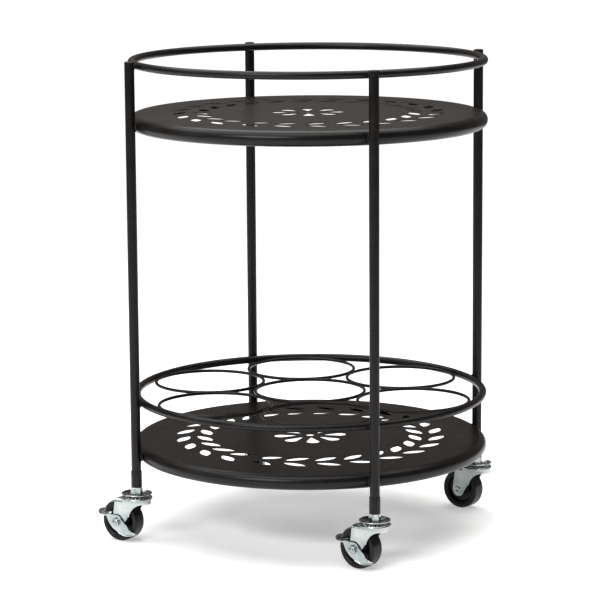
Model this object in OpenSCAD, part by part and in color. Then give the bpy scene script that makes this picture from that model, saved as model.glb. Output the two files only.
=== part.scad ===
// Two-tier round bar cart: four posts, two guard rails, seven bottle rings, two pierced
// trays and four swivel casters, the front two with toe brakes. Millimetres, +Z up.
// The origin is on the floor, below the centre of the trays.

/* [Frame] */
// Radius of the circle that the four posts stand on
post_circle_r = 226; // [200:1:260]
// Outer diameter of a post tube
post_d = 12; // [10:0.5:16]
// Height of the post tops above the floor
post_top_z = 590; // [450:5:900]
// Outer diameter of a guard rail tube
rail_d = 9.5; // [8:0.5:12]
// Height of the upper guard rail's centreline
upper_rail_z = 584.2; // [440:0.1:890]
// Height of the lower guard rail's centreline
lower_rail_z = 172; // [150:1:300]
// Wire diameter of a bottle ring
ring_wire_d = 4; // [3:0.5:6]

/* [Trays] */
// Height of the upper tray's flat face
upper_tray_z = 520.5; // [380:0.5:800]
// Height of the lower tray's flat face
lower_tray_z = 115.5; // [110:0.5:140]
// Thickness of the tray sheet
sheet_t = 1; // [0.8:0.1:1.5]
// Height of the rolled rim
rim_h = 18.5; // [12:0.5:24]
// Turn of the upper tray's pattern against the lower tray's
upper_tray_turn = -4; // [-15:1:15]

/* [Tray pattern] */
// Leaf pairs around the wreath
leaf_pairs = 24; // [12:1:26]
// Angle from one leaf pair to the next
leaf_step = 14.9; // [10:0.1:14.9]
// Angle of the first leaf pair
leaf_start = 273.8; // [0:0.1:360]
// Length of a leaf
leaf_l = 34; // [20:1:38]
// Width of a leaf
leaf_w = 13; // [8:0.5:14]
// Radius at the middle of the inner leaves
inner_leaf_r = 131.5; // [120:0.5:140]
// Radius at the middle of the outer leaves
outer_leaf_r = 158; // [150:0.5:170]
// Angle between a leaf and the stem line
leaf_tilt = 28; // [15:1:40]
// Petals of the flower in the middle
petals = 8; // [5:1:9]
// Angle of the first petal
petal_start = 31; // [0:1:45]

/* [Casters] */
// Wheel diameter
wheel_d = 50; // [48:1:50]
// Width of the tyre
tyre_w = 18; // [15:0.5:18]
// Horizontal distance from the swivel axis to the axle
trail = 20.5; // [19:0.5:21]
// Turn of each caster about its post: front left, front right, back right, back left
caster_turn = [-6, -13, -12, -65];

/* [Hidden] */
$fn = 64;
CORNERS = ["front_left", "front_right", "back_right", "back_left"];
CORNER_ANGLES = [225, 315, 45, 135];
BRAKED = [true, true, false, false];
PIECES = ["stem", "upper_race", "balls", "fork", "axle", "sleeve", "wheel_hub", "tyre"];
BRAKE_PIECES = ["axle_nut", "brake_lever", "brake_spring"];

BLACK = [0.13, 0.13, 0.14];
ZINC = [0.78, 0.82, 0.84];
STEEL = [0.6, 0.62, 0.63];

// Frame: the rails and trays stop a hair inside the posts, and weld stubs bridge the gap.
weld_gap = 0.3;
post_r = post_d / 2;
post_bore_r = post_r - 1.2;
inner_line_r = post_circle_r - post_r - weld_gap;
rail_r = rail_d / 2;
rail_wall = 1;
rail_circle_r = inner_line_r - rail_r;
rail_stub_r = 3.2;
vent_r = 1.3;
plug_t = 1;
plug_depth = 6;
plug_play = 0.05;
ferrule_z = 69;
ferrule_h = 20;
ferrule_r = post_r + 0.7;
ferrule_floor = 10;

// Bottle rings: seven equal circles packed inside the rail, fused 0.1 mm into each other.
fuse = 0.1;
ring_wire_r = ring_wire_d / 2;
ring_out_r = (inner_line_r - rail_d) / 3;
ring_line_r = ring_out_r - ring_wire_r + fuse / 2;
ring_step_r = 2 * ring_out_r;

// Trays: a flat sheet that rolls round a bead and tucks under.
rim_r = rim_h / 2;
bead_r = inner_line_r - rim_r;
tray_stub_r = 3;
leaf_arc_r = (leaf_l * leaf_l + leaf_w * leaf_w) / (4 * leaf_w);
petal_r = 8;
petal_mid_r = 37;
petal_tip_r = 12;
flower_hole_r = 5;

// Caster heights, from the floor up.
wheel_r = wheel_d / 2;
stem_r = 4;
thread_h = 16;
hex_af = 13;
kingpin_r = 5;
kingpin_play = 0.08;
rivet_r = 7.5;
fork_top_z = 54;
fork_t = 1.8;
rivet_top_z = fork_top_z - 2 - 0.3;
rivet_h = 2;
race_z = 57.5;
race_t = 1.2;
race_r = 19;
race_floor_r = 10;
race_rise = 3.1;
ball_r = 2.1;
ball_count = 18;
ball_line_r = 13.2;
ball_z = fork_top_z + 0.1 + ball_r;
ridge_r = 1.9;
ridge_line_r = 17.6;
ridge_z = 55.2;
disc_r = 18.5;

// Fork: two legs in a plan that narrows to a nose, cut away in front of the wheel.
leg_out = 12.8;
leg_end_x = -trail + 1;
leg_end_r = 8.5;
leg_back_x = leg_end_x - leg_end_r;
leg_rise = 3.2;
leg_top_x = leg_back_x + 3.7;
leg_fold_x = -trail + 7.5;
nose_x = 19;
nose_r = 9.5;
nose_run = nose_x - nose_r - leg_fold_x;
flank_r = (nose_run * nose_run + leg_out * leg_out - nose_r * nose_r) / (2 * (leg_out - nose_r));
arch_x = 15.5;
arch_z = 29;
arch_r = 20;
web_x = -6.2;
web_angle = 12;

// Wheel and axle.
axle_r = 3;
axle_head_r = 4.6;
sleeve_r = 4;
bore_play = 0.08;
hub_half = 10.6;
hub_r = 8;
web_half = 2.5;
hub_rim_half = 7;
hub_rim_in_r = 17;
tyre_in_r = 19.5;
shoulder_r = 1.5;
nut_af = 10;
nut_t = 4;

// Brake lever: two cheeks outside the fork legs, joined by a toe pedal behind the wheel.
cheek_in = 14.2;
cheek_t = 1.4;
cheek_out = cheek_in + cheek_t;
cheek_back_x = -35;
crease_x = -14;
crease_angle = 11;
wing_x = 5.5;
far_cheek_x = -9;
lip_w = 1.6;
pedal_z = 33.8;
pedal_rise = 2.8;
pedal_flat = 9.5;
pedal_front_x = -29;
pedal_neck_x = -33;
pedal_mid_x = -41.5;
pedal_r = 14;
slot_mid_x = -38;
slot_r = 10.5;

// Spring leaf, just clear of the tyre.
leaf_gap_r = wheel_r + 1.2;
spring_t = 0.8;
spring_half = 7;
spring_end_angle = 150;

// Places a child at a corner's post.
module at_post(i) {
    angle = CORNER_ANGLES[i];
    translate([post_circle_r * cos(angle), post_circle_r * sin(angle), 0]) children();
}

// Places a child at a corner's post, turned as its caster rests.
module at_caster(i) {
    at_post(i) rotate([0, 0, caster_turn[i]]) children();
}

// Lays a child drawn along +Z along the axle, centred on it.
module on_axle() {
    translate([-trail, 0, wheel_r]) rotate([90, 0, 0]) children();
}

// Extrudes an outline drawn in x and z to the slab from y0 to y1.
module slab(y0, y1) {
    translate([0, y1, 0]) rotate([90, 0, 0]) linear_extrude(y1 - y0) children();
}

module post(i) {
    bottom = ferrule_z + ferrule_floor;
    height = post_top_z - plug_t - bottom;
    color(BLACK) at_post(i) translate([0, 0, bottom]) difference() {
        cylinder(r = post_r, h = height);
        translate([0, 0, -1]) cylinder(r = post_bore_r, h = height + 2);
    }
}

module post_end_plugs() {
    color(BLACK) for (i = [0:3]) at_post(i) {
        translate([0, 0, post_top_z - plug_t]) cylinder(r = post_r, h = plug_t);
        translate([0, 0, post_top_z - plug_t - plug_depth])
            cylinder(r = post_bore_r - plug_play, h = plug_depth + plug_t);
    }
}

module foot_ferrules() {
    color(BLACK) for (i = [0:3]) at_post(i) translate([0, 0, ferrule_z]) difference() {
        cylinder(r = ferrule_r, h = ferrule_h);
        translate([0, 0, -1]) cylinder(r = stem_r + plug_play, h = ferrule_h + 2);
        translate([0, 0, ferrule_floor]) cylinder(r = post_r, h = ferrule_h);
    }
}

module ring(line_r, section_r) {
    rotate_extrude($fn = 180) translate([line_r, 0]) circle(r = section_r, $fn = 32);
}

// A stub of radius r from radius r0 out to each post, cut to the posts' round faces.
module weld_stubs(r, r0) {
    for (angle = CORNER_ANGLES) rotate([0, 0, angle])
        translate([r0, 0, 0]) rotate([0, 90, 0]) cylinder(r = r, h = post_circle_r - r0 - post_r + 2);
}

module post_spaces() {
    for (i = [0:3]) at_post(i) translate([0, 0, -50]) cylinder(r = post_r, h = 100);
}

// A guard rail: a tube ring with a stub to each post and a vent hole underneath.
module guard_rail(z) {
    color(BLACK) translate([0, 0, z]) difference() {
        union() {
            ring(rail_circle_r, rail_r);
            weld_stubs(rail_stub_r, rail_circle_r + 1);
        }
        ring(rail_circle_r, rail_r - rail_wall);
        post_spaces();
        translate([0, rail_circle_r, -rail_d]) cylinder(r = vent_r, h = rail_d);
    }
}

// Ring 0 is the centre one, and rings 1 to 6 stand around it.
module bottle_ring(i) {
    angle = 60 * (i - 1);
    step = i == 0 ? 0 : ring_step_r;
    color(BLACK) translate([step * cos(angle), step * sin(angle), lower_rail_z])
        ring(ring_line_r, ring_wire_r);
}

// Section through the sheet and its rolled rim, with the flat's top face at y = 0.
module tray_section() {
    translate([0, -sheet_t]) square([bead_r, sheet_t]);
    translate([bead_r, -rim_r]) difference() {
        circle(r = rim_r);
        circle(r = rim_r - sheet_t);
        polygon([[0, 0], [-rim_h, -rim_h], [-rim_h, rim_h], [0, rim_h]]);
    }
}

// One leaf: two arcs that meet in a point at each end.
module leaf() {
    offset_r = leaf_arc_r - leaf_w / 2;
    intersection() {
        translate([0, offset_r]) circle(r = leaf_arc_r, $fn = 96);
        translate([0, -offset_r]) circle(r = leaf_arc_r, $fn = 96);
    }
}

// One petal: a round end with straight sides that run tangent to it down to a tip.
module petal() {
    reach = petal_mid_r - petal_tip_r;
    half_angle = asin(petal_r / reach);
    side = sqrt(reach * reach - petal_r * petal_r);
    tangent = [petal_tip_r + side * cos(half_angle), side * sin(half_angle)];
    translate([petal_mid_r, 0]) circle(r = petal_r);
    polygon([[petal_tip_r, 0], tangent, [petal_mid_r, 0], [tangent[0], -tangent[1]]]);
}

// The wreath's leaves all lean outward from the stem line as it runs clockwise.
module tray_pattern() {
    for (i = [0:leaf_pairs - 1]) rotate([0, 0, leaf_start + i * leaf_step]) {
        translate([inner_leaf_r, 0]) rotate([0, 0, 90 + leaf_tilt]) leaf();
        translate([outer_leaf_r, 0]) rotate([0, 0, 90 - leaf_tilt]) leaf();
    }
    for (i = [0:petals - 1]) rotate([0, 0, petal_start + i * 360 / petals]) petal();
    circle(r = flower_hole_r);
}

module tray(z, turn) {
    color(BLACK) translate([0, 0, z]) difference() {
        union() {
            rotate_extrude($fn = 180) tray_section();
            translate([0, 0, -rim_r]) weld_stubs(tray_stub_r, inner_line_r - sheet_t + 0.1);
        }
        post_spaces();
        rotate([0, 0, turn]) translate([0, 0, -2 * sheet_t]) linear_extrude(3 * sheet_t) tray_pattern();
    }
}

// Threaded stem, hexagon, kingpin and riveted head in one turned piece.
module stem(i) {
    hex_z = race_z + race_t;
    color(ZINC) at_caster(i) {
        translate([0, 0, hex_z]) rotate([0, 0, 15])
            cylinder(d = hex_af / cos(30), h = ferrule_z - hex_z, $fn = 6);
        translate([0, 0, hex_z]) cylinder(r = stem_r, h = ferrule_z - hex_z + thread_h);
        translate([0, 0, rivet_top_z - rivet_h]) cylinder(r = kingpin_r, h = hex_z - rivet_top_z + rivet_h);
        translate([0, 0, rivet_top_z - rivet_h]) cylinder(r = rivet_r, h = rivet_h);
    }
}

// Dished upper race with a flared edge, clamped under the stem's hexagon.
module upper_race(i) {
    section = [
        [kingpin_r, 0], [race_floor_r, 0], [race_r, race_rise],
        [race_r, race_rise + race_t], [race_floor_r, race_t], [kingpin_r, race_t]
    ];
    color(ZINC) at_caster(i) translate([0, 0, race_z]) rotate_extrude($fn = 96) polygon(section);
}

module balls(i) {
    color(STEEL) at_caster(i) for (k = [0:ball_count - 1]) rotate([0, 0, k * 360 / ball_count])
        translate([ball_line_r, 0, ball_z]) sphere(r = ball_r, $fn = 24);
}

// Plan of the fork, shrunk by t all round for its inner face: straight legs that start at
// back_x, then flanks that curve in to a round nose.
module fork_plan(t, back_x) {
    side = leg_out - t;
    join_x = leg_fold_x + nose_run * flank_r / (flank_r - nose_r);
    translate([back_x, -side]) square([leg_fold_x - back_x, 2 * side]);
    intersection() {
        translate([leg_fold_x, leg_out - flank_r]) circle(r = flank_r - t, $fn = 180);
        translate([leg_fold_x, flank_r - leg_out]) circle(r = flank_r - t, $fn = 180);
        translate([leg_fold_x, -leg_out]) square([join_x - leg_fold_x, 2 * leg_out]);
    }
    translate([nose_x - nose_r, 0]) circle(r = nose_r - t);
}

// Side outline of the fork, in x and z: a round end at the axle and an arch over the wheel.
module fork_side() {
    web_top = [web_x, arch_z + 2.5];
    web_low = [leg_end_x + leg_end_r * cos(web_angle), wheel_r - leg_end_r * sin(web_angle)];
    web_foot = web_low + 0.25 * (web_low - web_top);
    translate([leg_end_x, wheel_r]) circle(r = leg_end_r);
    difference() {
        polygon([
            [leg_end_x, wheel_r], [leg_back_x + 1, wheel_r + leg_rise], [leg_top_x, fork_top_z],
            [race_r, fork_top_z], [race_r, web_top.y], web_top, web_foot
        ]);
        translate([arch_x, arch_z]) circle(r = arch_r, $fn = 96);
        translate([arch_x, 0]) square([arch_r, arch_z + arch_r]);
    }
}

module fork(i) {
    color(ZINC) at_caster(i) difference() {
        union() {
            intersection() {
                linear_extrude(fork_top_z) difference() {
                    fork_plan(0, leg_back_x - 5);
                    fork_plan(fork_t, leg_back_x - 10);
                }
                slab(-race_r, race_r) fork_side();
            }
            translate([0, 0, fork_top_z - 2]) linear_extrude(2) fork_plan(0, leg_top_x + 0.6);
            translate([0, 0, fork_top_z - 2]) cylinder(r = disc_r, h = 2, $fn = 96);
            translate([0, 0, ridge_z]) ring(ridge_line_r, ridge_r);
        }
        translate([0, 0, fork_top_z - 10]) cylinder(r = kingpin_r + kingpin_play, h = 20);
        on_axle() cylinder(r = axle_r + bore_play, h = 4 * leg_out, center = true);
    }
}

// Axle: a bolt with a nut on the braked casters, and a rivet with two heads on the others.
module axle(i) {
    near = BRAKED[i] ? cheek_out + 0.3 + nut_t + 1 : leg_out;
    far = BRAKED[i] ? cheek_out + 0.3 : leg_out;
    color(ZINC) at_caster(i) on_axle() {
        translate([0, 0, -far]) cylinder(r = axle_r, h = far + near);
        translate([0, 0, -far - 2]) cylinder(r = axle_head_r, h = 2);
        if (!BRAKED[i]) translate([0, 0, near]) cylinder(r = axle_head_r, h = 1.6);
    }
}

module axle_nut(i) {
    color(ZINC) at_caster(i) on_axle() translate([0, 0, cheek_out + 0.3]) difference() {
        cylinder(d = nut_af / cos(30), h = nut_t, $fn = 6);
        translate([0, 0, -1]) cylinder(r = axle_r, h = nut_t + 2);
    }
}

// Spacer tube between the fork's legs that the wheel turns on.
module sleeve(i) {
    half = leg_out - fork_t;
    color(STEEL) at_caster(i) on_axle() difference() {
        cylinder(r = sleeve_r, h = 2 * half, center = true);
        cylinder(r = axle_r, h = 2 * half + 2, center = true);
    }
}

// Wheel centre: a hub tube, a web and the rim that carries the tyre.
module wheel_hub(i) {
    section = [
        [sleeve_r + bore_play, -hub_half], [hub_r, -hub_half], [hub_r + 1, -web_half],
        [hub_rim_in_r, -web_half], [hub_rim_in_r + 1, -hub_rim_half], [tyre_in_r, -hub_rim_half],
        [tyre_in_r, hub_rim_half], [hub_rim_in_r + 1, hub_rim_half], [hub_rim_in_r, web_half],
        [hub_r + 1, web_half], [hub_r, hub_half], [sleeve_r + bore_play, hub_half]
    ];
    color([0.05, 0.05, 0.05]) at_caster(i) on_axle() rotate_extrude($fn = 96) polygon(section);
}

// Tyre section: a band with rounded shoulders.
module tyre_section() {
    half = tyre_w / 2;
    flat = half - shoulder_r;
    translate([tyre_in_r, -half]) square([wheel_r - shoulder_r - tyre_in_r, tyre_w]);
    translate([tyre_in_r, -flat]) square([wheel_r - tyre_in_r, 2 * flat]);
    for (s = [-1, 1]) translate([wheel_r - shoulder_r, s * flat]) circle(r = shoulder_r);
}

module tyre(i) {
    color([0.07, 0.07, 0.07]) at_caster(i) on_axle() rotate_extrude($fn = 96) tyre_section();
}

// Side outline of a brake cheek, in x and z: an arm back to the pedal, the part that
// hangs from the axle and a wing that sweeps forward beside the tyre.
module cheek_side() {
    polygon([
        [cheek_back_x, pedal_z], [-20, pedal_z], [-16.4, 32.4], [-13.8, 29.6], [-12, 27.2], [-9.2, 24.4],
        [-6.7, 21], [-4.3, 16.8], [-1, 13.9], [3, 12.5], [wing_x, 11.9], [wing_x, 10.4], [-5, 8], [-10, 8.3],
        [-18, 12], [-26, 16.4], [-31.5, 22.5], [cheek_back_x, 30]
    ]);
}

// Strip along the lower edge of the cheek, in x and z.
module lip_side() {
    polygon([
        [-18, 12], [-10, 8.3], [-5, 8], [wing_x, 10.4], [wing_x, 11.7], [-5, 9.3], [-10, 9.6], [-18, 13.3]
    ]);
}

// Plan of a cheek up to front_x, grown outward by w: straight to the crease, then bent in.
module cheek_plan(w, front_x) {
    bend = (front_x - crease_x) * tan(crease_angle);
    polygon([
        [cheek_back_x, -cheek_out - w], [crease_x, -cheek_out - w], [front_x, bend - cheek_out - w],
        [front_x, bend - cheek_in], [crease_x, -cheek_in], [cheek_back_x, -cheek_in]
    ]);
}

// A cheek that reaches forward to front_x, with a lip turned out along its lower edge.
module brake_cheek(front_x) {
    intersection() {
        linear_extrude(pedal_z + 5) cheek_plan(0, front_x);
        slab(-cheek_out - 5, 0) cheek_side();
    }
    intersection() {
        linear_extrude(pedal_z + 5) cheek_plan(lip_w, front_x);
        slab(-cheek_out - 5, 0) lip_side();
    }
}

// Plan of the toe pedal: a round end that its sides meet as tangents, and a slot that the
// wheel passes through.
module pedal_plan() {
    neck = [pedal_neck_x - pedal_mid_x, cheek_out];
    angle = atan2(neck[1], neck[0]) + acos(pedal_r / norm(neck));
    tangent = [pedal_mid_x + pedal_r * cos(angle), pedal_r * sin(angle)];
    difference() {
        union() {
            translate([pedal_mid_x, 0]) circle(r = pedal_r);
            polygon([
                [pedal_front_x, cheek_out], [pedal_neck_x, cheek_out], tangent, [pedal_mid_x, 0],
                [tangent[0], -tangent[1]], [pedal_neck_x, -cheek_out], [pedal_front_x, -cheek_out]
            ]);
        }
        translate([slot_mid_x, 0]) circle(r = slot_r);
        translate([slot_mid_x, -slot_r]) square([pedal_r + slot_r, 2 * slot_r]);
    }
}

// Section across the pedal, in y and z: its sides rise to a flat middle.
module pedal_section() {
    top = pedal_z + pedal_rise;
    polygon([
        [-cheek_out, pedal_z], [-pedal_flat, top], [pedal_flat, top], [cheek_out, pedal_z],
        [cheek_out, pedal_z - cheek_t], [pedal_flat, top - cheek_t], [-pedal_flat, top - cheek_t],
        [-cheek_out, pedal_z - cheek_t]
    ]);
}

module pedal() {
    intersection() {
        linear_extrude(pedal_z + 5) pedal_plan();
        translate([pedal_mid_x - pedal_r, 0, 0]) rotate([90, 0, 90])
            linear_extrude(2 * pedal_r) pedal_section();
    }
}

module brake_lever(i) {
    color(ZINC) at_caster(i) difference() {
        union() {
            brake_cheek(wing_x);
            mirror([0, 1, 0]) brake_cheek(far_cheek_x);
            pedal();
        }
        on_axle() cylinder(r = axle_r + bore_play, h = 4 * leg_out, center = true);
    }
}

// Spring leaf under the fork's top that wraps over the tyre, just clear of it.
module brake_spring(i) {
    wedge = 2 * wheel_r;
    color(STEEL) at_caster(i) slab(-spring_half, spring_half) {
        translate([-trail, wheel_r]) intersection() {
            difference() {
                circle(r = leaf_gap_r + spring_t, $fn = 96);
                circle(r = leaf_gap_r, $fn = 96);
            }
            polygon([
                [0, 0], [0, wedge], [wedge * cos(spring_end_angle), wedge],
                wedge * [cos(spring_end_angle), sin(spring_end_angle)]
            ]);
        }
        translate([-trail, fork_top_z - 2 - spring_t]) square([8, spring_t]);
    }
}

for (i = [0:3]) post(i);
post_end_plugs();
foot_ferrules();
guard_rail(upper_rail_z);  // upper_guard_rail
guard_rail(lower_rail_z);  // lower_guard_rail
bottle_ring(0);  // bottle_ring_centre
for (i = [1:6]) bottle_ring(i);
tray(upper_tray_z, upper_tray_turn);  // upper_tray
tray(lower_tray_z, 0);  // lower_tray
for (i = [0:3]) stem(i);
for (i = [0:3]) upper_race(i);
for (i = [0:3]) balls(i);
for (i = [0:3]) fork(i);
for (i = [0:3]) axle(i);
for (i = [0:3]) sleeve(i);
for (i = [0:3]) wheel_hub(i);
for (i = [0:3]) tyre(i);
for (i = [0:1]) axle_nut(i);
for (i = [0:1]) brake_lever(i);
for (i = [0:1]) brake_spring(i);
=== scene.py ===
"""Looks of the round two-tier bar cart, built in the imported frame."""

import math

import bmesh
import bpy
from mathutils import Matrix, Vector, noise

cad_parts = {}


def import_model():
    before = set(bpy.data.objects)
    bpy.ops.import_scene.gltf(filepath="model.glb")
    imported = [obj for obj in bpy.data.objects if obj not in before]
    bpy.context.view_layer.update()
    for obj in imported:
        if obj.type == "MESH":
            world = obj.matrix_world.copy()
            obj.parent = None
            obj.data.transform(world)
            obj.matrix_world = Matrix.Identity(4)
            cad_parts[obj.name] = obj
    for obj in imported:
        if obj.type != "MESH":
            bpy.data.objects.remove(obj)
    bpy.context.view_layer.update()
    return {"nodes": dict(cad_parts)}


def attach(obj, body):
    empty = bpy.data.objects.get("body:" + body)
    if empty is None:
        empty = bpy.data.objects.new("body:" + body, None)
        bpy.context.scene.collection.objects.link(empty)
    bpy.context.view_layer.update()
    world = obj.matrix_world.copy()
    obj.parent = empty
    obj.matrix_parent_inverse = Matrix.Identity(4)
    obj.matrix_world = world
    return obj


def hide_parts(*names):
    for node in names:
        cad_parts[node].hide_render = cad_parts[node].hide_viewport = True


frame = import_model()

MM = 0.001
TAU = 2 * math.pi

# The cart's sizes in millimetres and angles in degrees, as in its CAD source.
POST_CIRCLE = 226.0
POST_R = 6.0
POST_TOP = 590.0
CORNERS = {"front_left": (225, -6, True), "front_right": (315, -13, True),
           "back_right": (45, -12, False), "back_left": (135, -65, False)}
INNER_LINE = 219.7
RAIL_R = 4.75
RAIL_LINE = INNER_LINE - RAIL_R
RAIL_Z = {"upper_guard_rail": 584.2, "lower_guard_rail": 172.0}
WIRE_R = 2.0
RING_LINE = 68.12
RING_STEP = 140.13
TRAYS = {"upper_tray": (520.5, -4.0), "lower_tray": (115.5, 0.0)}
SHEET = 1.0
BEAD = 9.25
BEAD_LINE = INNER_LINE - BEAD
RIM_ROLL = 225
LEAF_LENGTH = 34.0
LEAF_WIDTH = 13.0
LEAF_LEAN = 28
LEAF_PAIRS = 24
INNER_LEAF_LINE = 131.5
OUTER_LEAF_LINE = 158.0
WREATH_START = 273.8
WREATH_STEP = 14.9
PETALS = 8
PETAL_START = 31
EYE_R = 5.0
TRAIL = 20.5
AXLE_Z = 25.0
FORK_T = 1.8
LEG_Y = 12.8
LEG_LEAN = 3.7
LEG_BEHIND = 7.5
FOLD_X = -13.0
CHEEK_OUT = 15.6
CHEEK_IN = 14.2
FERRULE_Z = 69.0
PLATE_Z = 54.0
RACE_Z = 57.5


# ---------------------------------------------------------------- materials

def shader(name):
    mat = bpy.data.materials.new(name)
    mat.use_nodes = True
    tree = mat.node_tree
    return mat, tree, tree.nodes["Principled BSDF"]


def node(tree, kind):
    return tree.nodes.new(kind)


def noise_node(tree, scale, detail=4.0, roughness=0.55, stretch=(1, 1, 1)):
    """Noise in the object's own coordinates, scale in features per metre."""
    place = node(tree, "ShaderNodeTexCoord")
    mapping = node(tree, "ShaderNodeMapping")
    mapping.inputs["Scale"].default_value = stretch
    made = node(tree, "ShaderNodeTexNoise")
    made.inputs["Scale"].default_value = scale
    made.inputs["Detail"].default_value = detail
    made.inputs["Roughness"].default_value = roughness
    tree.links.new(place.outputs["Object"], mapping.inputs["Vector"])
    tree.links.new(mapping.outputs["Vector"], made.inputs["Vector"])
    return made


def ramp(tree, source, stops):
    made = node(tree, "ShaderNodeValToRGB")
    elements = made.color_ramp.elements
    elements[0].position, elements[0].color = stops[0][0], (*stops[0][1], 1)
    elements[1].position, elements[1].color = stops[-1][0], (*stops[-1][1], 1)
    for position, colour in stops[1:-1]:
        elements.new(position).color = (*colour, 1)
    tree.links.new(source, made.inputs["Fac"])
    return made


def spread(tree, source, low, high):
    """Maps noise, mostly 0.3 to 0.7, to the range low to high."""
    made = node(tree, "ShaderNodeMapRange")
    made.inputs["From Min"].default_value = 0.3
    made.inputs["From Max"].default_value = 0.7
    made.inputs["To Min"].default_value = low
    made.inputs["To Max"].default_value = high
    tree.links.new(source, made.inputs["Value"])
    return made


def bump(tree, bsdf, layers):
    """Chains bump layers: (source socket, distance in metres, strength)."""
    last = None
    for source, distance, strength in layers:
        made = node(tree, "ShaderNodeBump")
        made.inputs["Strength"].default_value = strength
        made.inputs["Distance"].default_value = distance
        tree.links.new(source, made.inputs["Height"])
        if last:
            tree.links.new(last.outputs["Normal"], made.inputs["Normal"])
        last = made
    tree.links.new(last.outputs["Normal"], bsdf.inputs["Normal"])


def powder_coat():
    """Satin black powder coat: fine orange peel, faint dust and uneven sheen."""
    mat, tree, bsdf = shader("black_powder_coat")
    mottle = noise_node(tree, 60, 5)
    peel = noise_node(tree, 700, 3)
    grain = noise_node(tree, 3200, 2)
    colour = ramp(tree, mottle.outputs["Fac"],
                  [(0.3, (0.0035, 0.003, 0.0027)), (0.7, (0.0065, 0.0055, 0.005))])
    tree.links.new(colour.outputs["Color"], bsdf.inputs["Base Color"])
    bsdf.inputs["Specular IOR Level"].default_value = 0.24
    rough = spread(tree, mottle.outputs["Fac"], 0.29, 0.37)
    tree.links.new(rough.outputs["Result"], bsdf.inputs["Roughness"])
    bump(tree, bsdf, [(peel.outputs["Fac"], 0.0002, 0.25), (grain.outputs["Fac"], 0.0001, 0.2)])
    return mat


def zinc_plate():
    """Bright zinc plate with a faint blue and straw passivation bloom."""
    mat, tree, bsdf = shader("zinc_plate")
    bloom = noise_node(tree, 45, 4)
    streak = noise_node(tree, 350, 4, 0.6, (1, 1, 0.12))
    colour = ramp(tree, bloom.outputs["Fac"],
                  [(0.3, (0.28, 0.33, 0.34)), (0.5, (0.43, 0.48, 0.48)), (0.7, (0.56, 0.57, 0.53))])
    tree.links.new(colour.outputs["Color"], bsdf.inputs["Base Color"])
    bsdf.inputs["Metallic"].default_value = 1.0
    rough = spread(tree, streak.outputs["Fac"], 0.16, 0.30)
    tree.links.new(rough.outputs["Result"], bsdf.inputs["Roughness"])
    bump(tree, bsdf, [(bloom.outputs["Fac"], 0.0012, 0.25), (streak.outputs["Fac"], 0.00006, 0.3)])
    return mat


def bare_steel():
    """Ground steel, as on the balls, sleeves and spring leaves."""
    mat, tree, bsdf = shader("plain_steel")
    wear = noise_node(tree, 300, 4)
    colour = ramp(tree, wear.outputs["Fac"], [(0.3, (0.40, 0.41, 0.42)), (0.7, (0.56, 0.56, 0.55))])
    tree.links.new(colour.outputs["Color"], bsdf.inputs["Base Color"])
    bsdf.inputs["Metallic"].default_value = 1.0
    rough = spread(tree, wear.outputs["Fac"], 0.25, 0.4)
    tree.links.new(rough.outputs["Result"], bsdf.inputs["Roughness"])
    bump(tree, bsdf, [(wear.outputs["Fac"], 0.0001, 0.3)])
    return mat


def moulded_black(name, base, rough_low, rough_high, turned):
    """Black moulded plastic or rubber with a faint fine bump of even noise."""
    mat, tree, bsdf = shader(name)
    dust = noise_node(tree, 90, 5)
    lines = noise_node(tree, turned, 3, 0.5)
    light = tuple(1.9 * c for c in base)
    bsdf.inputs["Specular IOR Level"].default_value = 0.25
    colour = ramp(tree, dust.outputs["Fac"], [(0.3, base), (0.7, light)])
    tree.links.new(colour.outputs["Color"], bsdf.inputs["Base Color"])
    rough = spread(tree, dust.outputs["Fac"], rough_low, rough_high)
    tree.links.new(rough.outputs["Result"], bsdf.inputs["Roughness"])
    bump(tree, bsdf, [(lines.outputs["Fac"], 0.0001, 0.25)])
    return mat


MATERIALS = {
    "black_powder_coat": powder_coat(),
    "zinc_plate": zinc_plate(),
    "plain_steel": bare_steel(),
    "hub_plastic": moulded_black("hub_plastic", (0.002, 0.002, 0.002), 0.18, 0.28, 500),
    "tyre_rubber": moulded_black("tyre_rubber", (0.004, 0.004, 0.004), 0.26, 0.36, 900),
}


# ---------------------------------------------------------------- mesh tools

class Shape:
    """Collects closed shells, in millimetres, for one piece."""

    def __init__(self):
        self.bm = bmesh.new()

    def shell(self, rows, wrap_rows=False, wrap_columns=True, place=None):
        """A grid of points as a surface. rows is a list of equally long point lists."""
        place = place or Matrix.Identity(4)
        made = [[self.bm.verts.new(place @ Vector(p)) for p in row] for row in rows]
        last_row = len(made) if wrap_rows else len(made) - 1
        width = len(made[0])
        last_column = width if wrap_columns else width - 1
        for i in range(last_row):
            a, b = made[i], made[(i + 1) % len(made)]
            for j in range(last_column):
                k = (j + 1) % width
                self.bm.faces.new((a[j], a[k], b[k], b[j]))
        return made

    def cap(self, loop):
        self.bm.faces.new(loop)

    def fill(self, loops, normal):
        """Fills the face inside closed vertex loops, holes included."""
        edges = []
        for loop in loops:
            for a, b in zip(loop, loop[1:] + loop[:1]):
                edges.append(self.bm.edges.get((a, b)) or self.bm.edges.new((a, b)))
        bmesh.ops.triangle_fill(self.bm, use_beauty=True, use_dissolve=False, edges=edges, normal=normal)

    def mesh(self, name, sharp=35, weld=0.0005):
        bmesh.ops.remove_doubles(self.bm, verts=self.bm.verts, dist=weld)
        bmesh.ops.dissolve_degenerate(self.bm, edges=self.bm.edges, dist=weld)
        bmesh.ops.recalc_face_normals(self.bm, faces=self.bm.faces)
        bmesh.ops.scale(self.bm, vec=(MM, MM, MM), verts=self.bm.verts)
        data = bpy.data.meshes.new(name)
        self.bm.to_mesh(data)
        self.bm.free()
        data.shade_smooth()
        data.set_sharp_from_angle(angle=math.radians(sharp))
        return data


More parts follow.
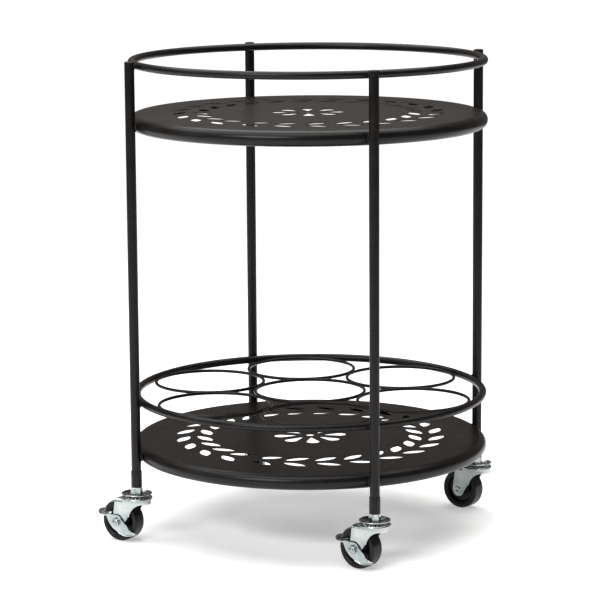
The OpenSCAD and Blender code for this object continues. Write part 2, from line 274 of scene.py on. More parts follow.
def fillet(points, radius, steps=4):
    """Rounds a closed outline's corners. radius is one number or one for each point."""
    out = []
    count = len(points)
    for i in range(count):
        r = radius[i] if isinstance(radius, (list, tuple)) else radius
        p, a, b = Vector(points[i]), Vector(points[i - 1]), Vector(points[(i + 1) % count])
        u, v = (a - p), (b - p)
        reach = 0.48 * min(u.length, v.length)
        u.normalize()
        v.normalize()
        angle = u.angle(v)
        if r <= 0 or angle > math.pi - 0.05:
            out.append(tuple(p))
            continue
        d = min(r / math.tan(angle / 2), reach)
        r = d * math.tan(angle / 2)
        c = p + (u + v).normalized() * (r / math.sin(angle / 2))
        s, e = p + u * d - c, p + v * d - c
        start = math.atan2(s.y, s.x)
        turn = (math.atan2(e.y, e.x) - start + math.pi) % TAU - math.pi
        for k in range(steps + 1):
            t = start + turn * k / steps
            out.append((c.x + r * math.cos(t), c.y + r * math.sin(t)))
    return out


def lathe(shape, profile, segments=96, place=None):
    """Turns a closed (radius, height) outline about +Z."""
    rows = []
    for k in range(segments):
        t = TAU * k / segments
        rows.append([(r * math.cos(t), r * math.sin(t), z) for r, z in profile])
    shape.shell(rows, wrap_rows=True, wrap_columns=True, place=place)


def torus(shape, line, r, segments, around, place=None):
    profile = [(line + r * math.cos(TAU * k / around), r * math.sin(TAU * k / around)) for k in range(around)]
    lathe(shape, profile, segments, place)


def inset(loop, d):
    """Moves a closed loop towards its left side by d."""
    out = []
    count = len(loop)
    for i in range(count):
        p, a, b = Vector(loop[i]), Vector(loop[i - 1]), Vector(loop[(i + 1) % count])
        u, v = (p - a).normalized(), (b - p).normalized()
        n = Vector((-u.y, u.x)) + Vector((-v.y, v.x))
        n.normalize()
        stretch = 1 / max(0.45, n.dot(Vector((-u.y, u.x))))
        out.append(tuple(p + n * d * stretch))
    return out


def signed_area(loop):
    return sum(a[0] * b[1] - b[0] * a[1] for a, b in zip(loop, loop[1:] + loop[:1])) / 2


def plate(shape, outline, holes, z0, z1, edge, place=None, steps=2):
    """A flat plate with rounded edges from z0 to z1."""
    place = place or Matrix.Identity(4)
    loops = [outline if signed_area(outline) > 0 else outline[::-1]]
    for hole in holes:
        loops.append(hole if signed_area(hole) < 0 else hole[::-1])
    low, high = [], []
    for loop in loops:
        rows = []
        for z, sign in ((z0 + edge, -1), (z1 - edge, 1)):
            turns = [k / steps for k in range(steps + 1)]
            for t in (turns[::-1] if sign < 0 else turns):
                a = t * math.pi / 2
                ring = inset(loop, edge * (1 - math.cos(a)))
                rows.append([(x, y, z + sign * edge * math.sin(a)) for x, y in ring])
        made = shape.shell(rows, place=place)
        low.append(made[0])
        high.append(made[-1])
    up = (place.to_3x3() @ Vector((0, 0, 1))).normalized()
    shape.fill(low, -up)
    shape.fill(high, up)


def sweep(shape, path, radii, around=14):
    """A tube of changing radius along a path, closed at both ends."""
    rows = []
    path = [Vector(p) for p in path]
    side = None
    for i, p in enumerate(path):
        ahead = (path[min(i + 1, len(path) - 1)] - path[max(i - 1, 0)]).normalized()
        if side is None:
            side = ahead.orthogonal().normalized()
        side = (side - ahead * side.dot(ahead)).normalized()
        other = ahead.cross(side)
        rows.append([p + (side * math.cos(TAU * k / around) + other * math.sin(TAU * k / around)) * radii[i]
                     for k in range(around)])
    made = shape.shell(rows)
    shape.cap(made[0][::-1])
    shape.cap(made[-1])


def polar(shape, radius, heights, angles, place=None):
    """A closed body of radius(angle, height) about +Z."""
    rows = [[(radius(t, z) * math.cos(t), radius(t, z) * math.sin(t), z) for t in angles] for z in heights]
    made = shape.shell(rows, place=place)
    shape.cap(made[0][::-1])
    shape.cap(made[-1])


def hexagon(shape, across, z0, z1, turn=0.0, chamfer_low=True, chamfer_high=True, place=None, bore=0.0):
    """A hexagon whose corners are turned off to a cone, as on a real nut or bolt head."""
    half = across / 2
    corner_r, flat_r, worn = half / math.cos(math.pi / 6), half * 0.97, 0.12
    steep, shallow = 1.732, 0.577  # tangents of 60 and 30 degrees
    drop = (corner_r - flat_r) * shallow

    def radius(t, z):
        r = half / math.cos((t - turn + math.pi / 6) % (math.pi / 3) - math.pi / 6)
        r = min(r, corner_r - worn)
        if chamfer_high:
            r = min(r, flat_r + (z1 - z) * steep)
        if chamfer_low:
            r = min(r, flat_r + (z - z0) * steep)
        return r

    angles = [TAU * k / 96 for k in range(96)]
    steps = [0, 0.25, 0.5, 0.75, 1.0]
    heights = [z0 + drop * s for s in steps] + [z1 - drop * s for s in steps[::-1]]
    if not bore:
        polar(shape, radius, heights, angles, place)
        return
    rows = [[(radius(t, z) * math.cos(t), radius(t, z) * math.sin(t), z) for t in angles] for z in heights]
    for z, r in ((z1, bore + 0.4), (z1 - 0.4, bore), (z0 + 0.4, bore), (z0, bore + 0.4)):
        rows.append([(r * math.cos(t), r * math.sin(t), z) for t in angles])
    shape.shell(rows, wrap_rows=True, place=place)


def weighted(obj):
    """Keeps flat faces flat in the shading beside their rounded edges."""
    made = obj.modifiers.new("normals", "WEIGHTED_NORMAL")
    made.keep_sharp = True
    return obj


def piece(name, data, material, body, place=None, replaces=()):
    obj = bpy.data.objects.new(name, data)
    bpy.context.scene.collection.objects.link(obj)
    if not data.materials:
        data.materials.append(MATERIALS[material])
    if place:
        obj.matrix_world = place
    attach(obj, body)
    if replaces:
        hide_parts(*replaces)
    return obj


# ---------------------------------------------------------------- frame

def post_mesh():
    """A straight tube, its edge rolled in a little where the end plug closes it."""
    shape = Shape()
    low, high = FERRULE_Z + 10, POST_TOP - 1.0
    profile = [(4.8, low), (POST_R, low), (POST_R, low + 100), (POST_R, low + 300), (POST_R, high - 0.01),
               (POST_R - 0.02, high), (4.8, high)]
    lathe(shape, profile, 48)
    return shape.mesh("post")


def plug_mesh():
    """A pressed end plug with a softly crowned face."""
    shape = Shape()
    z = POST_TOP
    face = [(0.0, z), (2.5, z - 0.03), (4.4, z - 0.14), (5.3, z - 0.36), (5.8, z - 0.72),
            (POST_R - 0.02, z - 1.0), (4.7, z - 1.0), (4.7, z - 6.0), (4.2, z - 6.6), (0.0, z - 6.6)]
    for angle, _, _ in CORNERS.values():
        lathe(shape, face, 48, at_post(angle))
    return shape.mesh("post_end_plugs")


def ferrule_mesh():
    """Foot sleeves with rounded lips."""
    shape = Shape()
    z = FERRULE_Z
    profile = fillet([(4.05, z), (6.7, z), (6.7, z + 20), (6.0, z + 20), (6.0, z + 10), (4.05, z + 10)],
                     [0.3, 0.7, 0.55, 0, 0, 0.2])
    for angle, _, _ in CORNERS.values():
        lathe(shape, profile, 48, at_post(angle))
    return shape.mesh("foot_ferrules")


def at_post(angle):
    t = math.radians(angle)
    return Matrix.Translation((POST_CIRCLE * math.cos(t), POST_CIRCLE * math.sin(t), 0))


def leaf_outline(length, width, steps=12):
    arc = (length * length + width * width) / (4 * width)
    reach = math.asin(length / 2 / arc)
    angles = [reach * (1 - 2 * k / steps) for k in range(steps + 1)]
    upper = [(arc * math.sin(a), arc * math.cos(a) - arc + width / 2) for a in angles]
    lower = [(-x, -y) for x, y in upper[1:-1]]
    return upper + lower


def petal_outline(tip=12.0, middle=37.0, r=8.0, steps=20):
    half = math.pi / 2 + math.asin(r / (middle - tip))
    ring = [(middle + r * math.cos(half * (2 * k / steps - 1)), r * math.sin(half * (2 * k / steps - 1)))
            for k in range(steps + 1)]
    return [(tip, 0.0)] + ring


def moved(loop, turn, shift=0.0, spin=0.0):
    """Spins a loop in place, shifts it along +X and turns it about the origin. Angles in degrees."""
    a, b = math.radians(spin), math.radians(turn)
    out = []
    for x, y in loop:
        u = x * math.cos(a) - y * math.sin(a) + shift
        v = x * math.sin(a) + y * math.cos(a)
        out.append((u * math.cos(b) - v * math.sin(b), u * math.sin(b) + v * math.cos(b)))
    return out


def tray_holes(turn):
    """The wreath's leaves in pairs that lean apart, and the flower's petals round its eye."""
    leaf = leaf_outline(LEAF_LENGTH, LEAF_WIDTH)
    leaf = fillet(leaf, [0.5 if k in (0, 12) else 0 for k in range(len(leaf))], 3)
    holes = []
    for i in range(LEAF_PAIRS):
        angle = WREATH_START + WREATH_STEP * i + turn
        holes.append(moved(leaf, angle, INNER_LEAF_LINE, 90 + LEAF_LEAN))
        holes.append(moved(leaf, angle, OUTER_LEAF_LINE, 90 - LEAF_LEAN))
    petal = petal_outline()
    petal = fillet(petal, [0.6] + [0] * (len(petal) - 1), 3)
    for k in range(PETALS):
        holes.append(moved(petal, PETAL_START + 360 / PETALS * k + turn))
    holes.append([(EYE_R * math.cos(TAU * k / 32), EYE_R * math.sin(TAU * k / 32)) for k in range(32)])
    return holes


def tray_mesh(name, turn):
    """A pressed sheet with pierced holes and a rolled rim, in one skin."""
    shape = Shape()
    count = 288
    edge = 0.3
    holes = tray_holes(turn)
    low, high = [], []
    for hole in holes:
        loop = hole if signed_area(hole) < 0 else hole[::-1]
        rows = []
        for z, sign in ((edge - SHEET, -1), (-edge, 1)):
            for t in ((1, 0.5, 0) if sign < 0 else (0, 0.5, 1)):
                a = t * math.pi / 2
                ring = inset(loop, edge * (1 - math.cos(a)))
                rows.append([(x, y, z + sign * edge * math.sin(a)) for x, y in ring])
        made = shape.shell(rows)
        low.append(made[0])
        high.append(made[-1])
    section = [(BEAD_LINE, 0.0)]
    steps = 30
    for k in range(1, steps + 1):
        a = math.pi / 2 - math.radians(RIM_ROLL) * k / steps
        section.append((BEAD_LINE + BEAD * math.cos(a), -BEAD + BEAD * math.sin(a)))
    inner = BEAD - SHEET
    end = math.radians(90 - RIM_ROLL)
    mid = BEAD - SHEET / 2
    for k in range(1, 5):
        t = math.pi * k / 5
        out, aside = mid + SHEET / 2 * math.cos(t), SHEET / 2 * math.sin(t)
        section.append((BEAD_LINE + out * math.cos(end) + aside * math.sin(end),
                        -BEAD + out * math.sin(end) - aside * math.cos(end)))
    for k in range(steps + 1):
        a = end + math.radians(RIM_ROLL) * k / steps
        section.append((BEAD_LINE + inner * math.cos(a), -BEAD + inner * math.sin(a)))
    columns = []
    for k in range(count):
        t = TAU * k / count
        columns.append([(r * math.cos(t), r * math.sin(t), z) for r, z in section])
    made = shape.shell(columns, wrap_rows=True, wrap_columns=False)
    shape.fill([[column[0] for column in made]] + high, (0, 0, 1))
    shape.fill([[column[-1] for column in made]] + low, (0, 0, -1))
    return shape.mesh(name)


def weld_mesh(angle):
    """Small fillet welds in the corners between one post and the rails and trays."""
    shape = Shape()
    out = Matrix.Rotation(math.radians(angle), 4, "Z")
    levels = [(RAIL_Z["upper_guard_rail"], 3.6, 4.0, 1.6), (RAIL_Z["lower_guard_rail"], 3.6, 4.0, 1.6),
              (TRAYS["upper_tray"][0] - BEAD, 5.2, 4.6, 1.9), (TRAYS["lower_tray"][0] - BEAD, 5.2, 4.6, 1.9)]
    for index, (z, tall, aside, thick) in enumerate(levels):
        for side in (-1, 1):
            path, radii = [], []
            steps = 18
            for k in range(steps + 1):
                t = k / steps
                swell = math.sin(math.pi * min(max(t, 0.02), 0.98)) ** 0.45
                rough = noise.noise(Vector((t * 6, side * 3 + index * 7, angle)))
                u = side * (aside + 0.35 * rough - 1.1 * (1 - swell))
                path.append(out @ Vector((INNER_LINE + 0.9 + 0.2 * rough, u, z + tall * (2 * t - 1))))
                radii.append(thick * swell * (1 + 0.10 * math.sin(t * 32) + 0.15 * rough))
            sweep(shape, path, radii)
    return shape.mesh(f"welds_{angle}", sharp=80)


def rail_mesh(name, z):
    shape = Shape()
    torus(shape, RAIL_LINE, RAIL_R, 288, 28, Matrix.Translation((0, 0, z)))
    return shape.mesh(name)


def ring_mesh(name, i):
    """A bent wire ring: the centre one is number 0, the others stand round it."""
    shape = Shape()
    turn = math.radians(60 * (i - 1))
    step = 0 if i == 0 else RING_STEP
    centre = Vector((step * math.cos(turn), step * math.sin(turn), RAIL_Z["lower_guard_rail"]))
    torus(shape, RING_LINE, WIRE_R, 144, 16, Matrix.Translation(centre))
    return shape.mesh(name)


BLACK = "black_powder_coat"
for corner, (angle, _, _) in CORNERS.items():
    data = bpy.data.meshes.get("post") or post_mesh()
    place = Matrix.Translation(at_post(angle).translation * MM)
    piece(f"post_tube_{corner}", data, BLACK, "frame", place, replaces=[f"post_{corner}"])
    piece(f"welds_{corner}", weld_mesh(angle), BLACK, "frame")
piece("end_plugs", plug_mesh(), BLACK, "frame", replaces=["post_end_plugs"])
piece("ferrules", ferrule_mesh(), BLACK, "frame", replaces=["foot_ferrules"])
for name, z in RAIL_Z.items():
    piece(f"{name}_tube", rail_mesh(name, z), BLACK, "frame", replaces=[name])
for i in range(7):
    name = "bottle_ring_centre" if i == 0 else f"bottle_ring_{i}"
    piece(f"{name}_wire", ring_mesh(name, i), BLACK, "frame", replaces=[name])
for name, (z, turn) in TRAYS.items():
    weighted(piece(f"{name}_sheet", tray_mesh(name, turn), BLACK, "frame", Matrix.Translation((0, 0, z * MM)),
                   replaces=[name]))


# ---------------------------------------------------------------- casters

ON_AXLE = Matrix.Translation((-TRAIL, 0, AXLE_Z)) @ Matrix.Rotation(math.pi / 2, 4, "X")


def stem_mesh():
    """Hexagon, stem and riveted kingpin."""
    shape = Shape()
    hexagon(shape, 13.0, RACE_Z + 1.2, FERRULE_Z, math.radians(15), chamfer_low=False)
    turned = fillet([(0, RACE_Z), (4.0, RACE_Z), (4.0, 85), (0, 85)], [0, 0, 0.6, 0])
    lathe(shape, turned, 48)
    head = PLATE_Z - 2.3
    pin = [(0, head - 1.9), (4.5, head - 2.0), (6.4, head - 1.8), (7.3, head - 1.2), (7.5, head - 0.5),
           (7.2, head), (5.0, head), (5.0, RACE_Z + 1.3), (0, RACE_Z + 1.3)]
    lathe(shape, pin, 48)
    return shape.mesh("stem")


def race_mesh():
    """Dished upper race whose edge is rolled into a bead."""
    shape = Shape()
    bead = [(18.15 + 0.85 * math.cos(math.radians(a)), RACE_Z + 3.5 + 0.85 * math.sin(math.radians(a)))
            for a in range(-85, 126, 21)]
    profile = [(5.0, RACE_Z), (9.4, RACE_Z), (10.8, RACE_Z + 0.35)] + bead
    profile += [(16.6, RACE_Z + 3.4), (10.4, RACE_Z + 1.45), (9.2, RACE_Z + 1.2), (5.0, RACE_Z + 1.2)]
    lathe(shape, profile, 96)
    return shape.mesh("upper_race", sharp=50)


def fork_path():
    """Half of the fork's plan with its lower edge: (x, y, normal x, normal y, lowest z)."""
    bend = math.radians(6)
    nose_x, nose_r = 19.0, 9.5
    end_x, end_r, arch_x, arch_z, arch_r = 1 - TRAIL, 8.5, 15.5, 29.0, 20.0
    web_angle = math.radians(12)
    low_x, low_z = end_x + end_r * math.cos(web_angle), AXLE_Z - end_r * math.sin(web_angle)
    web_x, web_z = -6.2, arch_z + 2.5
    mid = nose_x - nose_r
    run = mid - FOLD_X
    flank = (run * run + LEG_Y * LEG_Y - nose_r * nose_r) / (
        2 * (LEG_Y * math.cos(bend) - run * math.sin(bend) - nose_r))
    cx, cy = FOLD_X - flank * math.sin(bend), LEG_Y - flank * math.cos(bend)
    join = math.atan2(0 - cy, mid - cx)
    out = []

    def low(x):
        if x <= low_x:
            return AXLE_Z - math.sqrt(max(0.0, end_r ** 2 - (x - end_x) ** 2))
        if x <= web_x:
            return low_z + (x - low_x) * (web_z - low_z) / (web_x - low_x)
        if x <= arch_x - arch_r + 0.4:
            return web_z + 0.5 * (x - web_x)
        if x >= arch_x:
            return arch_z + arch_r
        return arch_z + math.sqrt(max(0.0, arch_r ** 2 - (x - arch_x) ** 2))

    def side(x):
        if x <= FOLD_X:
            return LEG_Y, (0.0, 1.0)
        y = cy + math.sqrt(flank * flank - (x - cx) ** 2)
        return y, ((x - cx) / flank, (y - cy) / flank)

    xs = [end_x - end_r * math.cos(math.pi * k / 28) for k in range(22)]
    xs += [FOLD_X - 0.25, FOLD_X, FOLD_X + 0.25, low_x, -9.8, -8.0, web_x, -5.4]
    xs += [arch_x - arch_r * math.cos(math.radians(7.6 + 3.2 * k)) for k in range(0, 24)]
    join_x = cx + flank * math.cos(join)
    for x in sorted(set(round(x, 4) for x in xs if x < join_x - 0.15)):
        y, n = side(x)
        out.append((x, y, n[0], n[1], low(x)))
    for k in range(13):
        t = join * (1 - k / 12)
        x = mid + nose_r * math.cos(t)
        out.append((x, nose_r * math.sin(t), math.cos(t), math.sin(t), low(x)))
    return out


def slanted(x, z):
    """Leans the back edge of a leg forward towards its top."""
    share = (FOLD_X - x) / (FOLD_X + TRAIL + LEG_BEHIND)
    return x + LEG_LEAN * max(0.0, z - AXLE_Z) / (PLATE_Z - AXLE_Z) * min(max(share, 0.0), 1.0)


def fork_mesh():
    """Pressed fork: legs that bend in under the top, a web that flares out to the race."""
    shape = Shape()
    half = fork_path()
    path = half + [(x, -y, nx, -ny, z) for x, y, nx, ny, z in half[-2::-1]]
    fold, flare_r = 4, 18.9
    start = PLATE_Z - fold
    top_back, top_front, top_y = -24.4, -12.0, LEG_Y - 3.6
    skins = []
    for depth in (0.0, FORK_T):
        columns = []
        for x, y, nx, ny, low in path:
            column = []
            for k in range(9):
                z = low + (start - low) * k / 8 if low < start else low
                column.append((slanted(x - nx * depth, z), y - ny * depth, z))
            reach = max(0.0, flare_r - math.hypot(x, y))
            for k in range(1, 7):
                t = math.pi / 2 * k / 6
                if x <= FOLD_X - 0.1:
                    d = fold * (1 - math.cos(t)) + depth * math.cos(t)
                    z = start + (fold - depth) * math.sin(t)
                    column.append((slanted(x, z), y - ny * d, z))
                    continue
                ux, uy = x / math.hypot(x, y), y / math.hypot(x, y)
                d = reach * (1 - math.cos(t))
                back = depth * math.cos(t)
                column.append((x + ux * d - nx * back, y + uy * d - ny * back,
                               start + (3.4 + depth * 0.55) * math.sin(t)))
            columns.append(column)
        skins.append(columns)
    rows = [outer + inner[::-1] for outer, inner in zip(*skins)]
    made = shape.shell(rows, wrap_columns=True)
    shape.cap(made[0][::-1])
    shape.cap(made[-1])
    top = [(top_back, -top_y), (top_front, -top_y), (top_front, top_y), (top_back, top_y)]
    plate(shape, top, [], PLATE_Z - FORK_T, PLATE_Z, 0.2)
    ridge = []
    for k in range(24):
        t = math.radians(-62 + 242 * k / 23)
        ridge.append((17.6 + 1.9 * math.cos(t), PLATE_Z + 1.2 + 1.9 * math.sin(t)))
    ridge += [(15.3, PLATE_Z + 0.2), (14.0, PLATE_Z), (5.1, PLATE_Z), (5.1, PLATE_Z - FORK_T),
              (15.6, PLATE_Z - FORK_T), (18.0, PLATE_Z - 1.1)]
    lathe(shape, ridge, 96)
    return shape.mesh("fork", sharp=28)


def thread_profile(r, z0, z1, pitch=1.0):
    """A bolt end's outline with rounded thread crests, from the axis out and back."""
    out = [(0.0, z0), (r, z0)]
    z = z0 + 0.2
    while z < z1 - pitch:
        out += [(r, z), (r - 0.32, z + pitch * 0.35), (r - 0.32, z + pitch * 0.6), (r, z + pitch * 0.95)]
        z += pitch
    out += [(r - 0.1, z1 - 0.5), (r - 0.7, z1), (0.0, z1)]
    return out


def axle_mesh(braked):
    shape = Shape()
    if braked:
        lathe(shape, thread_profile(3.0, -CHEEK_OUT - 0.3, CHEEK_OUT + 5.3), 48, ON_AXLE)
        hexagon(shape, 9.0, -CHEEK_OUT - 2.3, -CHEEK_OUT - 0.3, 0.3, chamfer_high=False, place=ON_AXLE)
    else:
        face = LEG_Y + 0.02
        lathe(shape, [(0.0, -face), (3.0, -face), (3.0, face), (0.0, face)], 48, ON_AXLE)
        head = [(0.0, 0.35), (1.2, 0.5), (1.9, 1.25), (3.2, 1.5), (4.1, 1.15), (4.5, 0.45), (4.55, 0.0),
                (0.0, 0.0)]
        for side in (-1, 1):
            lathe(shape, [(r, side * (face + z)) for r, z in head], 48, ON_AXLE)
    return shape.mesh("axle_bolt" if braked else "axle_rivet", sharp=45)


def nut_mesh():
    shape = Shape()
    hexagon(shape, 10.0, CHEEK_OUT + 0.3, CHEEK_OUT + 4.3, 0.2, place=ON_AXLE, bore=3.0)
    washer = fillet([(3.05, 0), (6.4, 0), (6.4, 0.3), (3.05, 0.3)], [0, 0.1, 0.12, 0])
    lathe(shape, [(r, CHEEK_OUT + 0.01 + z) for r, z in washer], 48, ON_AXLE)
    return shape.mesh("axle_nut", sharp=30)


def hub_mesh():
    """Wheel centre with a deep dished face, a turned lip and a stepped hub."""
    shape = Shape()
    side = [(4.1, 10.6), (6.6, 10.6), (8.0, 10.0), (8.3, 4.2), (9.4, 2.9), (16.2, 2.9), (17.4, 3.8),
            (18.0, 7.2), (18.5, 7.8), (19.5, 7.8)]
    outline = side + [(r, -z) for r, z in side[::-1]]
    radii = [0.2, 0.4, 0.8, 1.2, 1.2, 1.0, 0.8, 0.5, 0.3, 0]
    lathe(shape, fillet(outline, radii + radii[::-1], 4), 96, ON_AXLE)
    return shape.mesh("wheel_hub")


def tyre_mesh():
    """Moulded tyre: crisp shoulders and a stepped side wall."""
    shape = Shape()
    side = [(19.5, 7.9), (19.9, 8.4), (20.6, 8.8), (22.4, 9.0), (24.3, 8.75), (24.85, 7.6), (25.0, 5.0),
            (25.0, 0.35), (25.0, 0.18)]
    radii = [0, 0.3, 0.5, 1.5, 0.9, 0.9, 2.0, 0, 0]
    outline = side + [(r, -z) for r, z in side[::-1]]
    lathe(shape, fillet(outline, radii + radii[::-1], 4), 120, ON_AXLE)
    return shape.mesh("tyre")


# Side outlines of the brake's near cheek and of its turned lip, in x and z, and their corner radii.
CHEEK = [(-35, 33.8), (-20, 33.8), (-16.4, 32.4), (-13.8, 29.6), (-12, 27.2), (-9.2, 24.4), (-6.7, 21),
         (-4.3, 16.8), (-1, 13.9), (3, 12.5), (5.5, 11.9), (5.5, 10.4), (-5, 8), (-10, 8.3), (-18, 12),
         (-26, 16.4), (-31.5, 22.5), (-35, 30)]
CHEEK_ROUND = [0.5, 6, 5, 5, 6, 5, 8, 6, 6, 5, 0.5, 0.6, 8, 8, 12, 12, 10, 1]
LIP = [(-18, 12), (-10, 8.3), (-5, 8), (5.5, 10.4), (5.5, 11.6), (-5, 9.2), (-10, 9.5), (-17.6, 13)]
LIP_ROUND = [0.3, 8, 8, 0.5, 0.5, 8, 8, 0.3]
CREASE_X = -14.0
CREASE_LEAN = 0.17
WING_ANGLE = math.radians(11.5)


def crease_at(z):
    """The crease leans back a little towards the cheek's lower edge."""
    return CREASE_X - CREASE_LEAN * (29.5 - z)


def brake_cheeks(shape):
    """Near cheek with its bent wing and turned lip, and a far cheek that ends at the wing's root."""
    stand = Matrix.Rotation(math.pi / 2, 4, "X")
    bore_r = 3.08
    bore = [(-TRAIL + bore_r * math.cos(TAU * k / 32), AXLE_Z + bore_r * math.sin(TAU * k / 32))
            for k in range(32)]
    dish_start, dish_run, dish_curve, dish_z = 6, 4, 0.007, 9
    for side in (-1, 1):
        part = Shape()
        for a, b, outline, holes in ((CHEEK_IN, CHEEK_OUT, fillet(CHEEK, CHEEK_ROUND), [bore]),
                                     (CHEEK_IN + 0.1, CHEEK_OUT + 1.5, fillet(LIP, LIP_ROUND), [])):
            z0, z1 = (a, b) if side < 0 else (-b, -a)
            plate(part, outline, holes, z0, z1, 0.4, stand, 3)
        if side > 0:
            cut_off(part.bm, -9.0)
        # Edges for the crease, and a grid over the wing for its dish.
        for k in range(9):
            cut(part.bm, (crease_at(20) - 1.2 + 0.3 * k, 0, 20), (1, 0, -CREASE_LEAN))
        for k in range(12):
            cut(part.bm, (-9 + 1.1 * k, 0, 20), (1, 0, 0))
        for k in range(10):
            cut(part.bm, (0, 0, 10 + 1.6 * k), (0, 0, 1))
        for v in part.bm.verts:
            ahead = v.co.x - crease_at(v.co.z)
            bent = (math.sqrt(ahead * ahead + 0.5) + ahead) / 2
            share = min(max((ahead - dish_start) / dish_run, 0.0), 1.0)
            dish = dish_curve * max(v.co.z - dish_z, 0.0) ** 2 * share * share * (3 - 2 * share)
            v.co.y -= side * (bent * math.tan(WING_ANGLE) + dish)
        copy_into(part, shape)


def cut(bm, at, normal, clear=False):
    """Adds edges where a plane crosses the mesh, and may remove what lies in front of it."""
    bmesh.ops.bisect_plane(bm, geom=bm.verts[:] + bm.edges[:] + bm.faces[:], plane_co=at, plane_no=normal,
                           clear_outer=clear)


def cut_off(bm, x):
    """Removes what lies in front of x and closes the cut."""
    cut(bm, (x, 0, 0), (1, 0, 0), clear=True)
    bmesh.ops.holes_fill(bm, edges=[e for e in bm.edges if e.is_boundary], sides=0)


def copy_into(part, shape):
    table = {v: shape.bm.verts.new(v.co) for v in part.bm.verts}
    for f in part.bm.faces:
        shape.bm.faces.new([table[v] for v in f.verts])
    part.bm.free()


def brake_pedal(shape):
    """Crowned toe pedal with a turned-down rim, a raised tip and a slot for the wheel."""
    front_x, neck_x, mid_x, end_r, slot_x, slot_r = -29.0, -33.0, -41.5, 14.0, -36.0, 10.5
    neck = Vector((neck_x - mid_x, CHEEK_OUT - 0.2))
    swing = math.atan2(neck.y, neck.x) + math.acos(end_r / neck.length)
    rows = []
    rim_z, pedal_t, crown_rise, tip_x, tip_run, tip_rise = 33.7, 1.3, 2.9, -43.0, 12.5, 2.4
    spans = [((front_x, CHEEK_OUT - 0.2), (front_x, slot_r)),
             ((neck_x + 2, CHEEK_OUT - 0.2), (-32.5, slot_r)),
             ((neck_x, CHEEK_OUT - 0.25), (-35.0, slot_r))]
    steps = 22
    for k in range(steps + 1):
        a = swing + (math.pi - swing) * k / steps
        b = math.pi / 2 + math.pi / 2 * k / steps
        spans.append(((mid_x + end_r * math.cos(a), end_r * math.sin(a)),
                      (slot_x + slot_r * math.cos(b), slot_r * math.sin(b))))
    spans += [((ox, -oy), (ix, -iy)) for (ox, oy), (ix, iy) in spans[-2::-1]]
    for outer, inner in spans:
        outer, inner = Vector(outer), Vector(inner)
        width = (inner - outer).length
        across = (inner - outer) / width
        behind = max(0.0, tip_x - outer.x)
        rim = rim_z - 0.06 * min(max(front_x - outer.x, 0.0), 14.0) + tip_rise * (behind / tip_run) ** 2
        rise = crown_rise - 1.9 * min(1.0, behind / tip_run)

        def crown(e):
            return rim + rise * (1 - (1 - e / width) ** 2)

        top = [(0.0, rim - 2.3), (0.0, rim - 1.1), (0.28, rim - 0.4), (0.9, crown(0.5))]
        top += [(width * t, crown(width * t)) for t in (0.3, 0.5, 0.75)]
        top += [(width - 0.3, crown(width)), (width, crown(width) - 0.3)]
        under = [(width, crown(width) - 1.0), (width - 0.3, crown(width) - pedal_t)]
        under += [(width * t, crown(width * t) - pedal_t) for t in (0.75, 0.5, 0.36)]
        under += [(1.5, rim - pedal_t), (1.3, rim - 2.1), (1.1, rim - 2.4), (0.2, rim - 2.4)]
        rows.append([(outer.x + across.x * e, outer.y + across.y * e, z) for e, z in top + under])
    made = shape.shell(rows)
    shape.cap(made[0][::-1])
    shape.cap(made[-1])


def brake_mesh():
    shape = Shape()
    brake_cheeks(shape)
    brake_pedal(shape)
    return shape.mesh("brake_lever", sharp=40)


def spring_mesh():
    """Spring leaf: a thin strip from under the fork's top round over the tyre."""
    shape = Shape()
    rows = []
    gap, half_t, flat_y, half_w = 26.6, 0.38, 6.8, 7.0
    points = [(8 - TRAIL, AXLE_Z + gap), (4.5 - TRAIL, AXLE_Z + gap)]
    for k in range(17):
        t = math.radians(92 + 58 * k / 16)
        points.append((-TRAIL + gap * math.cos(t), AXLE_Z + gap * math.sin(t)))
    for i, (x, z) in enumerate(points):
        a, b = points[max(i - 1, 0)], points[min(i + 1, len(points) - 1)]
        d = Vector((b[0] - a[0], b[1] - a[1])).normalized()
        n = Vector((-d.y, d.x)) * half_t
        section = [(1, -flat_y), (1, flat_y), (0.5, half_w), (-0.5, half_w),
                   (-1, flat_y), (-1, -flat_y), (-0.5, -half_w), (0.5, -half_w)]
        rows.append([(x + n.x * side, y, z + n.y * side) for side, y in section])
    made = shape.shell(rows)
    shape.cap(made[0][::-1])
    shape.cap(made[-1])
    return shape.mesh("brake_spring", sharp=40)


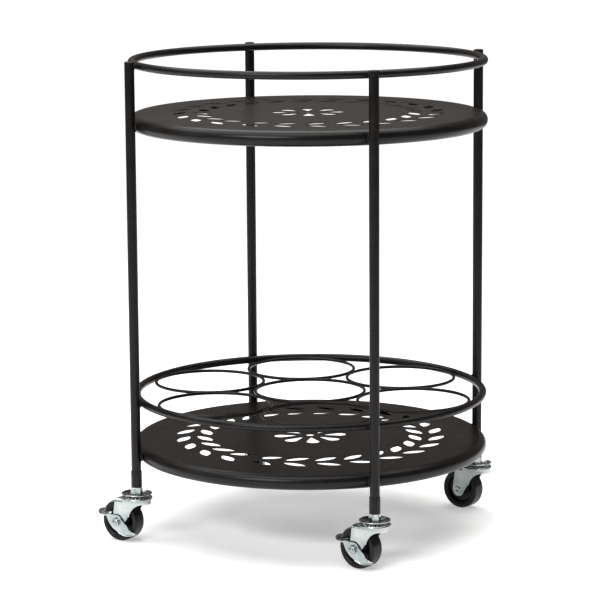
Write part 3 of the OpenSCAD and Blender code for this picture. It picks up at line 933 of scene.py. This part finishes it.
STEM, RACE, FORK = stem_mesh(), race_mesh(), fork_mesh()
HUB, TYRE, NUT = hub_mesh(), tyre_mesh(), nut_mesh()
AXLES = {True: axle_mesh(True), False: axle_mesh(False)}
LEVER, SPRING = brake_mesh(), spring_mesh()
ZINC = "zinc_plate"
for corner, (angle, turn, braked) in CORNERS.items():
    place = Matrix.Translation(at_post(angle).translation * MM) @ Matrix.Rotation(math.radians(turn), 4, "Z")
    swivel, wheel, brake = f"swivel_{corner}", f"wheel_{corner}", f"brake_{corner}"
    piece(f"stem_bolt_{corner}", STEM, ZINC, "frame", place, [f"stem_{corner}"])
    piece(f"race_cup_{corner}", RACE, ZINC, "frame", place, [f"upper_race_{corner}"])
    piece(f"fork_yoke_{corner}", FORK, ZINC, swivel, place, [f"fork_{corner}"])
    piece(f"axle_pin_{corner}", AXLES[braked], ZINC, swivel, place, [f"axle_{corner}"])
    piece(f"hub_{corner}", HUB, "hub_plastic", wheel, place, [f"wheel_hub_{corner}"])
    piece(f"tread_{corner}", TYRE, "tyre_rubber", wheel, place, [f"tyre_{corner}"])
    if braked:
        piece(f"nut_{corner}", NUT, ZINC, swivel, place, [f"axle_nut_{corner}"])
        weighted(piece(f"toe_lever_{corner}", LEVER, ZINC, brake, place, [f"brake_lever_{corner}"]))
        piece(f"spring_leaf_{corner}", SPRING, "plain_steel", swivel, place, [f"brake_spring_{corner}"])
    for kept in (f"balls_{corner}", f"sleeve_{corner}"):
        obj = frame["nodes"][kept]
        for slot in obj.material_slots:
            slot.material = MATERIALS["plain_steel"]


# ---------------------------------------------------------------- stage, light and camera

# The photograph's view: where the camera stands, its right and up, and its lens.
CAMERA_AT = (1.409193, -2.954078, 0.859541)
CAMERA_RIGHT = (0.90155, 0.43263, -0.00685)
CAMERA_UP = (-0.06851, 0.15835, 0.98500)
LENS = 160.85


def floor():
    mat, tree, bsdf = shader("floor")
    grain = noise_node(tree, 3, 2)
    colour = ramp(tree, grain.outputs["Fac"], [(0.3, (0.87, 0.87, 0.87)), (0.7, (0.89, 0.89, 0.89))])
    tree.links.new(colour.outputs["Color"], bsdf.inputs["Base Color"])
    bsdf.inputs["Roughness"].default_value = 0.9
    bsdf.inputs["Specular IOR Level"].default_value = 0.1
    bsdf.inputs["Emission Color"].default_value = (1, 1, 1, 1)
    bsdf.inputs["Emission Strength"].default_value = 0.4
    bm = bmesh.new()
    bmesh.ops.create_circle(bm, cap_ends=True, segments=128, radius=2.4)
    data = bpy.data.meshes.new("studio_floor")
    bm.to_mesh(data)
    bm.free()
    data.materials.append(mat)
    obj = bpy.data.objects.new("studio_floor", data)
    bpy.context.scene.collection.objects.link(obj)


def softbox(name, at, target, size, power):
    data = bpy.data.lights.new(name, "AREA")
    data.shape = "RECTANGLE"
    data.size, data.size_y = size
    data.energy = power
    obj = bpy.data.objects.new(name, data)
    bpy.context.scene.collection.objects.link(obj)
    obj.location = at
    obj.rotation_euler = (Vector(target) - Vector(at)).to_track_quat("-Z", "Y").to_euler()


def world():
    """White where the camera looks past the floor, and dim for everything that the cart reflects."""
    made = bpy.data.worlds.new("studio")
    bpy.context.scene.world = made
    made.use_nodes = True
    tree = made.node_tree
    dim = tree.nodes["Background"]
    dim.inputs["Color"].default_value = (1.0, 0.89, 0.82, 1)
    dim.inputs["Strength"].default_value = 0.17
    white = node(tree, "ShaderNodeBackground")
    white.inputs["Color"].default_value = (1, 1, 1, 1)
    white.inputs["Strength"].default_value = 1.1
    seen = node(tree, "ShaderNodeLightPath")
    mix = node(tree, "ShaderNodeMixShader")
    tree.links.new(seen.outputs["Is Camera Ray"], mix.inputs["Fac"])
    tree.links.new(dim.outputs["Background"], mix.inputs[1])
    tree.links.new(white.outputs["Background"], mix.inputs[2])
    tree.links.new(mix.outputs["Shader"], tree.nodes["World Output"].inputs["Surface"])


def camera():
    data = bpy.data.cameras.new("camera")
    data.lens = LENS
    data.sensor_width = 36
    data.clip_end = 100
    obj = bpy.data.objects.new("camera", data)
    bpy.context.scene.collection.objects.link(obj)
    right, up = Vector(CAMERA_RIGHT), Vector(CAMERA_UP)
    turn = Matrix((right, up, right.cross(up))).transposed().to_4x4()
    obj.matrix_world = Matrix.Translation(CAMERA_AT) @ turn
    bpy.context.scene.camera = obj


floor()
world()
camera()
softbox("top", (-0.3, 0.1, 2.4), (0, 0, 0.0), (3.4, 3.4), 115)
softbox("front", (-0.3, -2.9, 1.9), (0, 0, 0.3), (1.6, 0.4), 46)
softbox("left", (-2.4, -1.9, 1.3), (0, 0, 0.3), (0.4, 1.6), 6)
bpy.context.scene.view_settings.view_transform = "Standard"
bpy.context.scene.view_settings.look = "None"
